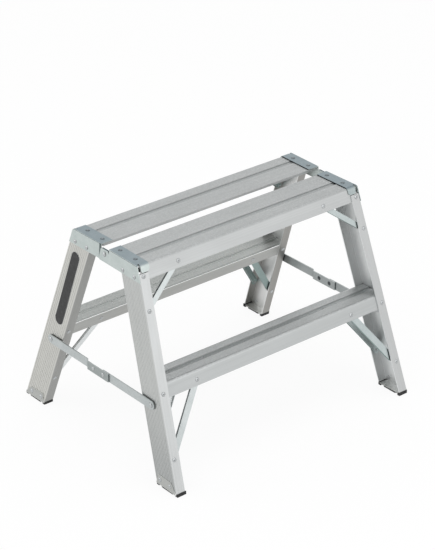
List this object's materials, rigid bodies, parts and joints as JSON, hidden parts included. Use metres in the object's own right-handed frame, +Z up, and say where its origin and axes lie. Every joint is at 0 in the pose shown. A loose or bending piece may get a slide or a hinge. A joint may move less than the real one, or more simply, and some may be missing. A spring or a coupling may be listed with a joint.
{
  "type": "folding work trestle",
  "caption": "Folding aluminium builders trestle: leaning channel-leg frames with ridged top and lower treads, hinged end caps, diagonal braces and folding spreaders.",
  "frame": {"origin": "on the floor, under the middle of the stand", "axes": "+X along the treads to the right, +Y to the rear frame, +Z up"},
  "size_m": [0.8332, 0.672, 0.5789],
  "materials": {
    "leg_aluminium": "mill finish extrusion",
    "tread_aluminium": "mill finish ridged extrusion",
    "shoe_aluminium": "mill finish bent sheet",
    "black_rubber": "matt moulded rubber",
    "galvanised_cap": "zinc plated sheet steel",
    "galvanised_brace": "zinc plated pressed strip",
    "galvanised_bar": "zinc plated flat bar",
    "galvanised_washer": "zinc plated",
    "bright_rivet": "bright rivet"
  },
  "bodies": {
    "rear_frame": {"rear_left_leg": "leg_aluminium", "rear_right_leg": "leg_aluminium", "rear_top_tread": "tread_aluminium", "rear_lower_tread": "tread_aluminium", "rear_left_cap": "galvanised_cap", "rear_right_cap": "galvanised_cap", "rear_left_upper_brace": "galvanised_brace", "rear_right_upper_brace": "galvanised_brace", "rear_left_outer_brace": "galvanised_brace", "rear_right_outer_brace": "galvanised_brace", "rear_left_inner_brace": "galvanised_brace", "rear_right_inner_brace": "galvanised_brace", "rear_left_shoe": "shoe_aluminium", "rear_right_shoe": "shoe_aluminium", "rear_left_sole": "black_rubber", "rear_right_sole": "black_rubber", "rear_tread_rivets": "bright_rivet", "rear_cap_rivets": "bright_rivet", "rear_brace_rivets": "bright_rivet", "rear_shoe_rivets": "bright_rivet", "hinge_pins": "bright_rivet", "left_hinge_washer": "galvanised_washer", "rear_spreader_pivots": "bright_rivet", "rear_spreader_spacers": "galvanised_washer"},
    "front_frame": {"front_left_leg": "leg_aluminium", "front_right_leg": "leg_aluminium", "front_top_tread": "tread_aluminium", "front_lower_tread": "tread_aluminium", "front_left_cap": "galvanised_cap", "front_right_cap": "galvanised_cap", "front_left_upper_brace": "galvanised_brace", "front_right_upper_brace": "galvanised_brace", "front_left_outer_brace": "galvanised_brace", "front_right_outer_brace": "galvanised_brace", "front_left_inner_brace": "galvanised_brace", "front_right_inner_brace": "galvanised_brace", "front_left_shoe": "shoe_aluminium", "front_right_shoe": "shoe_aluminium", "front_left_sole": "black_rubber", "front_right_sole": "black_rubber", "front_tread_rivets": "bright_rivet", "front_cap_rivets": "bright_rivet", "front_brace_rivets": "bright_rivet", "front_shoe_rivets": "bright_rivet", "right_hinge_washer": "galvanised_washer", "front_spreader_pivots": "bright_rivet", "front_spreader_spacers": "galvanised_washer"},
    "left_rear_link": {"left_rear_bar": "galvanised_bar", "left_rear_bar_studs": "bright_rivet"},
    "right_rear_link": {"right_rear_bar": "galvanised_bar", "right_rear_bar_studs": "bright_rivet"},
    "left_front_link": {"left_front_bar": "galvanised_bar", "left_front_bar_stud": "bright_rivet"},
    "right_front_link": {"right_front_bar": "galvanised_bar", "right_front_bar_stud": "bright_rivet"}
  },
  "joints": [
    {"name": "fold", "type": "hinge", "parent": "rear_frame", "child": "front_frame", "pos_m": [0, 0, 0.556], "axis": [1, 0, 0], "range_deg": [0, 37.88]},
    {"name": "left_rear_spread", "type": "hinge", "parent": "rear_frame", "child": "left_rear_link", "pos_m": [-0.39811, 0.21941, 0.2196], "axis": [1, 0, 0], "range_deg": [-34.11, 0]},
    {"name": "left_front_spread", "type": "hinge", "parent": "front_frame", "child": "left_front_link", "pos_m": [-0.39811, -0.21941, 0.2196], "axis": [1, 0, 0], "range_deg": [0, 56.22]},
    {"name": "right_rear_spread", "type": "hinge", "parent": "rear_frame", "child": "right_rear_link", "pos_m": [0.39811, 0.21941, 0.2196], "axis": [1, 0, 0], "range_deg": [-34.11, 0]},
    {"name": "right_front_spread", "type": "hinge", "parent": "front_frame", "child": "right_front_link", "pos_m": [0.39811, -0.21941, 0.2196], "axis": [1, 0, 0], "range_deg": [0, 56.22]}
  ],
  "couplings": [
    {"joint": "left_rear_spread", "follows": "fold", "ratio": -0.89511},
    {"joint": "left_front_spread", "follows": "fold", "ratio": 1.4788},
    {"joint": "right_rear_spread", "follows": "fold", "ratio": -0.89511},
    {"joint": "right_front_spread", "follows": "fold", "ratio": 1.4788}
  ]
}
